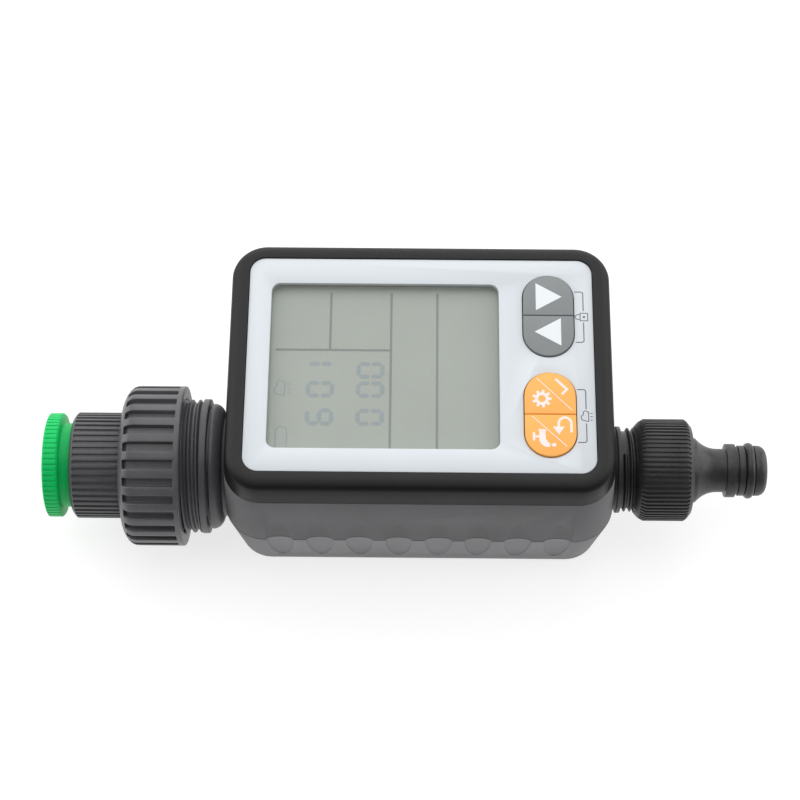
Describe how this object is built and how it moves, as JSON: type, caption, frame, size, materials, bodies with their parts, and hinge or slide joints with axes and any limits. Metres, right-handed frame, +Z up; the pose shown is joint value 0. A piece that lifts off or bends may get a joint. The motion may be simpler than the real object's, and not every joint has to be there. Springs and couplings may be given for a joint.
{
  "type": "drip irrigation timer",
  "caption": "Battery water timer for drip irrigation: flat display housing across a motorised ball valve, union inlet with reducer bush, quick-connect outlet.",
  "frame": {"origin": "centre of the inlet face of the reducer bush, on the pipe axis", "axes": "+X along the water path towards the hose spigot, +Y towards the battery side of the housing, +Z up out of the display"},
  "size_m": [0.2251, 0.0906, 0.0606],
  "materials": {
    "green_plastic": "moulded, semi-gloss",
    "black_plastic": "fine moulded, satin",
    "bezel_plastic": "fine spark texture, satin",
    "grey_plastic": "fine spark texture, matt",
    "cover_plastic": "fine spark texture, matt",
    "panel_plastic": "smooth, semi-gloss",
    "grey_rubber": "moulded silicone, satin",
    "orange_rubber": "moulded silicone, satin",
    "clear_plastic": "polished clear",
    "lcd": "reflective liquid crystal cell",
    "frame_plastic": "natural moulded",
    "board": "solder mask",
    "carbon_rubber": "carbon filled",
    "seal_rubber": "smooth",
    "steel": "zinc plated",
    "ptfe": "waxy",
    "brass": "turned",
    "gear_plastic": "natural acetal",
    "filter_plastic": "natural moulded",
    "battery_wrap": "printed sleeve, plain"
  },
  "bodies": {
    "housing": {"front_bezel": "bezel_plastic", "mid_shell": "grey_plastic", "bottom_cover": "cover_plastic", "case_seal": "seal_rubber", "case_screws": "steel", "face_panel": "panel_plastic", "window_lens": "clear_plastic", "lcd_glass": "lcd", "lcd_frame": "frame_plastic", "key_mat": "grey_rubber", "circuit_board": "board", "board_screws": "steel", "union_washer": "seal_rubber", "inlet_filter": "filter_plastic", "inlet_fitting": "black_plastic", "valve_body": "black_plastic", "valve_screws": "steel", "ball_seats": "ptfe", "drive_motor": "steel", "gearbox_base": "frame_plastic", "gearbox_cover": "frame_plastic", "gear_axles": "steel", "battery_tray": "cover_plastic", "batteries": "battery_wrap", "battery_contacts": "steel", "door_hinge_pin": "steel"},
    "tailpiece": {"tailpiece": "black_plastic"},
    "union_nut": {"union_nut": "black_plastic"},
    "bush_washer": {"bush_washer": "seal_rubber"},
    "reducer_bush": {"reducer_bush": "green_plastic"},
    "connector_washer": {"connector_washer": "seal_rubber"},
    "hose_connector": {"hose_connector": "black_plastic", "spigot_o_ring": "seal_rubber"},
    "up_key": {"up_key": "grey_rubber", "up_key_contact": "carbon_rubber"},
    "down_key": {"down_key": "grey_rubber", "down_key_contact": "carbon_rubber"},
    "settings_key": {"settings_key": "orange_rubber", "settings_key_contact": "carbon_rubber"},
    "back_key": {"back_key": "orange_rubber", "back_key_contact": "carbon_rubber"},
    "valve_ball": {"valve_ball": "brass", "valve_stem": "brass", "stem_o_rings": "seal_rubber", "output_gear": "gear_plastic"},
    "second_gear": {"second_gear": "gear_plastic"},
    "first_gear": {"first_gear": "gear_plastic"},
    "motor_rotor": {"motor_pinion": "brass", "motor_shaft": "steel"},
    "battery_door": {"battery_door": "cover_plastic", "door_seal": "seal_rubber"}
  },
  "joints": [
    {"name": "tailpiece_slide", "type": "slide", "parent": "housing", "child": "tailpiece", "axis": [-1, 0, 0], "range_m": [0, 0.00924]},
    {"name": "union_nut_turn", "type": "hinge", "parent": "tailpiece", "child": "union_nut", "pos_m": [0.034, 0, 0], "axis": [-1, 0, 0], "range_deg": [0, 1440]},
    {"name": "bush_slide", "type": "slide", "parent": "tailpiece", "child": "bush_washer", "axis": [-1, 0, 0], "range_m": [0, 0.0127]},
    {"name": "reducer_bush_turn", "type": "hinge", "parent": "bush_washer", "child": "reducer_bush", "pos_m": [0.005, 0, 0], "axis": [-1, 0, 0], "range_deg": [0, 2520]},
    {"name": "connector_slide", "type": "slide", "parent": "housing", "child": "connector_washer", "axis": [1, 0, 0], "range_m": [0, 0.0109]},
    {"name": "hose_connector_turn", "type": "hinge", "parent": "connector_washer", "child": "hose_connector", "pos_m": [0.19, 0, 0], "axis": [1, 0, 0], "range_deg": [0, 2160]},
    {"name": "up_key_press", "type": "slide", "parent": "housing", "child": "up_key", "axis": [0, 0, -1], "range_m": [0, 0.0008], "stiffness_N_per_m": 800, "springref_m": -0.0004},
    {"name": "down_key_press", "type": "slide", "parent": "housing", "child": "down_key", "axis": [0, 0, -1], "range_m": [0, 0.0008], "stiffness_N_per_m": 800, "springref_m": -0.0004},
    {"name": "settings_key_press", "type": "slide", "parent": "housing", "child": "settings_key", "axis": [0, 0, -1], "range_m": [0, 0.0008], "stiffness_N_per_m": 800, "springref_m": -0.0004},
    {"name": "back_key_press", "type": "slide", "parent": "housing", "child": "back_key", "axis": [0, 0, -1], "range_m": [0, 0.0008], "stiffness_N_per_m": 800, "springref_m": -0.0004},
    {"name": "valve_turn", "type": "hinge", "parent": "housing", "child": "valve_ball", "pos_m": [0.1154, 0, 0.01], "axis": [0, 0, 1], "range_deg": [0, 90]},
    {"name": "second_gear_turn", "type": "hinge", "parent": "housing", "child": "second_gear", "pos_m": [0.124, 0.01229, 0.018], "axis": [0, 0, 1], "range_deg": [-361, 1]},
    {"name": "first_gear_turn", "type": "hinge", "parent": "housing", "child": "first_gear", "pos_m": [0.13175, 0.02335, 0.018], "axis": [0, 0, 1], "range_deg": [-1, 1261]},
    {"name": "motor_turn", "type": "hinge", "parent": "housing", "child": "motor_rotor", "pos_m": [0.13949, 0.0344, 0.018], "axis": [0, 0, 1], "range_deg": [-4411, 1]},
    {"name": "battery_door_swing", "type": "hinge", "parent": "housing", "child": "battery_door", "pos_m": [0.112, 0.05505, -0.02575], "axis": [1, 0, 0], "range_deg": [0, 85]}
  ],
  "couplings": [
    {"joint": "tailpiece_slide", "follows": "union_nut_turn", "m_per_rad": 0.00036749},
    {"joint": "bush_slide", "follows": "reducer_bush_turn", "m_per_rad": 0.00028871},
    {"joint": "connector_slide", "follows": "hose_connector_turn", "m_per_rad": 0.00028871},
    {"joint": "second_gear_turn", "follows": "valve_turn", "ratio": -4},
    {"joint": "first_gear_turn", "follows": "valve_turn", "ratio": 14},
    {"joint": "motor_turn", "follows": "valve_turn", "ratio": -49}
  ]
}
